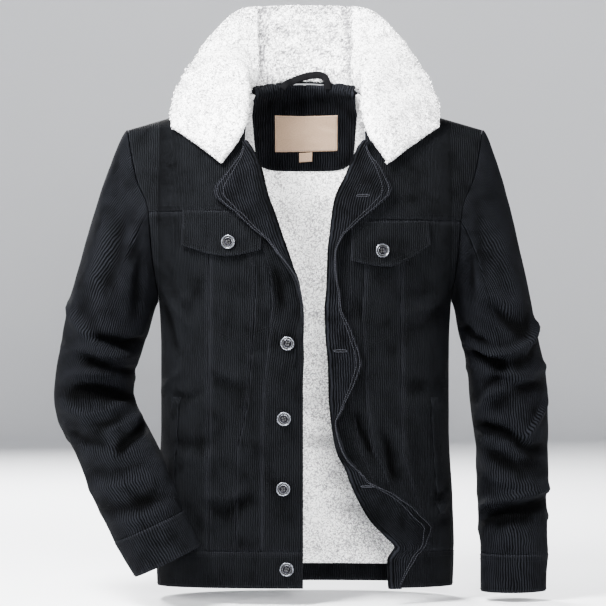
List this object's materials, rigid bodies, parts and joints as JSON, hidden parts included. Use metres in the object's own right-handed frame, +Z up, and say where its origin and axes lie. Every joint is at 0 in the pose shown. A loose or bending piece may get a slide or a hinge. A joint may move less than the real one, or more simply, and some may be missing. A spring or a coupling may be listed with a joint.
{
  "type": "jacket",
  "caption": "Black corduroy trucker jacket with white sherpa collar and lining, worn open, filled out with no wearer inside",
  "frame": {"origin": "mid point of the neck at the height of the side neck points, where the shoulders carry the jacket", "axes": "+X the viewer's right (the wearer's left), +Y the jacket's back, +Z up"},
  "size_m": [0.667, 0.2907, 0.7939],
  "materials": {
    "corduroy": "black fine-wale cotton corduroy, matt with a soft nap",
    "sherpa": "white curly sherpa pile",
    "button": "glossy dark grey four-hole button with a pale rim",
    "label": "woven pinkish beige label cloth, bare"
  },
  "bodies": {
    "root": {"panel_front_side_right": "corduroy", "panel_front_centre_right": "corduroy", "panel_front_inner_right": "corduroy", "yoke_front_right": "corduroy", "placket_right": "corduroy", "waistband_front_right": "corduroy", "facing_right": "corduroy", "sleeve_upper_right": "corduroy", "sleeve_under_right": "corduroy", "cuff_right": "corduroy", "flap_right": "corduroy", "welt_right": "corduroy", "lining_front_right": "sherpa", "button_flap_right": "button", "panel_front_side_left": "corduroy", "panel_front_centre_left": "corduroy", "panel_front_inner_left": "corduroy", "yoke_front_left": "corduroy", "placket_left": "corduroy", "waistband_front_left": "corduroy", "facing_left": "corduroy", "sleeve_upper_left": "corduroy", "sleeve_under_left": "corduroy", "cuff_left": "corduroy", "flap_left": "corduroy", "welt_left": "corduroy", "lining_front_left": "sherpa", "button_flap_left": "button", "yoke_back": "corduroy", "panel_back": "corduroy", "waistband_back": "corduroy", "collar_under": "corduroy", "neck_facing": "corduroy", "hang_loop": "corduroy", "lining_back": "sherpa", "collar": "sherpa", "neck_label": "label", "size_tab": "label", "button_front_1": "button", "button_front_2": "button", "button_front_3": "button", "button_front_4": "button"}
  },
  "joints": []
}
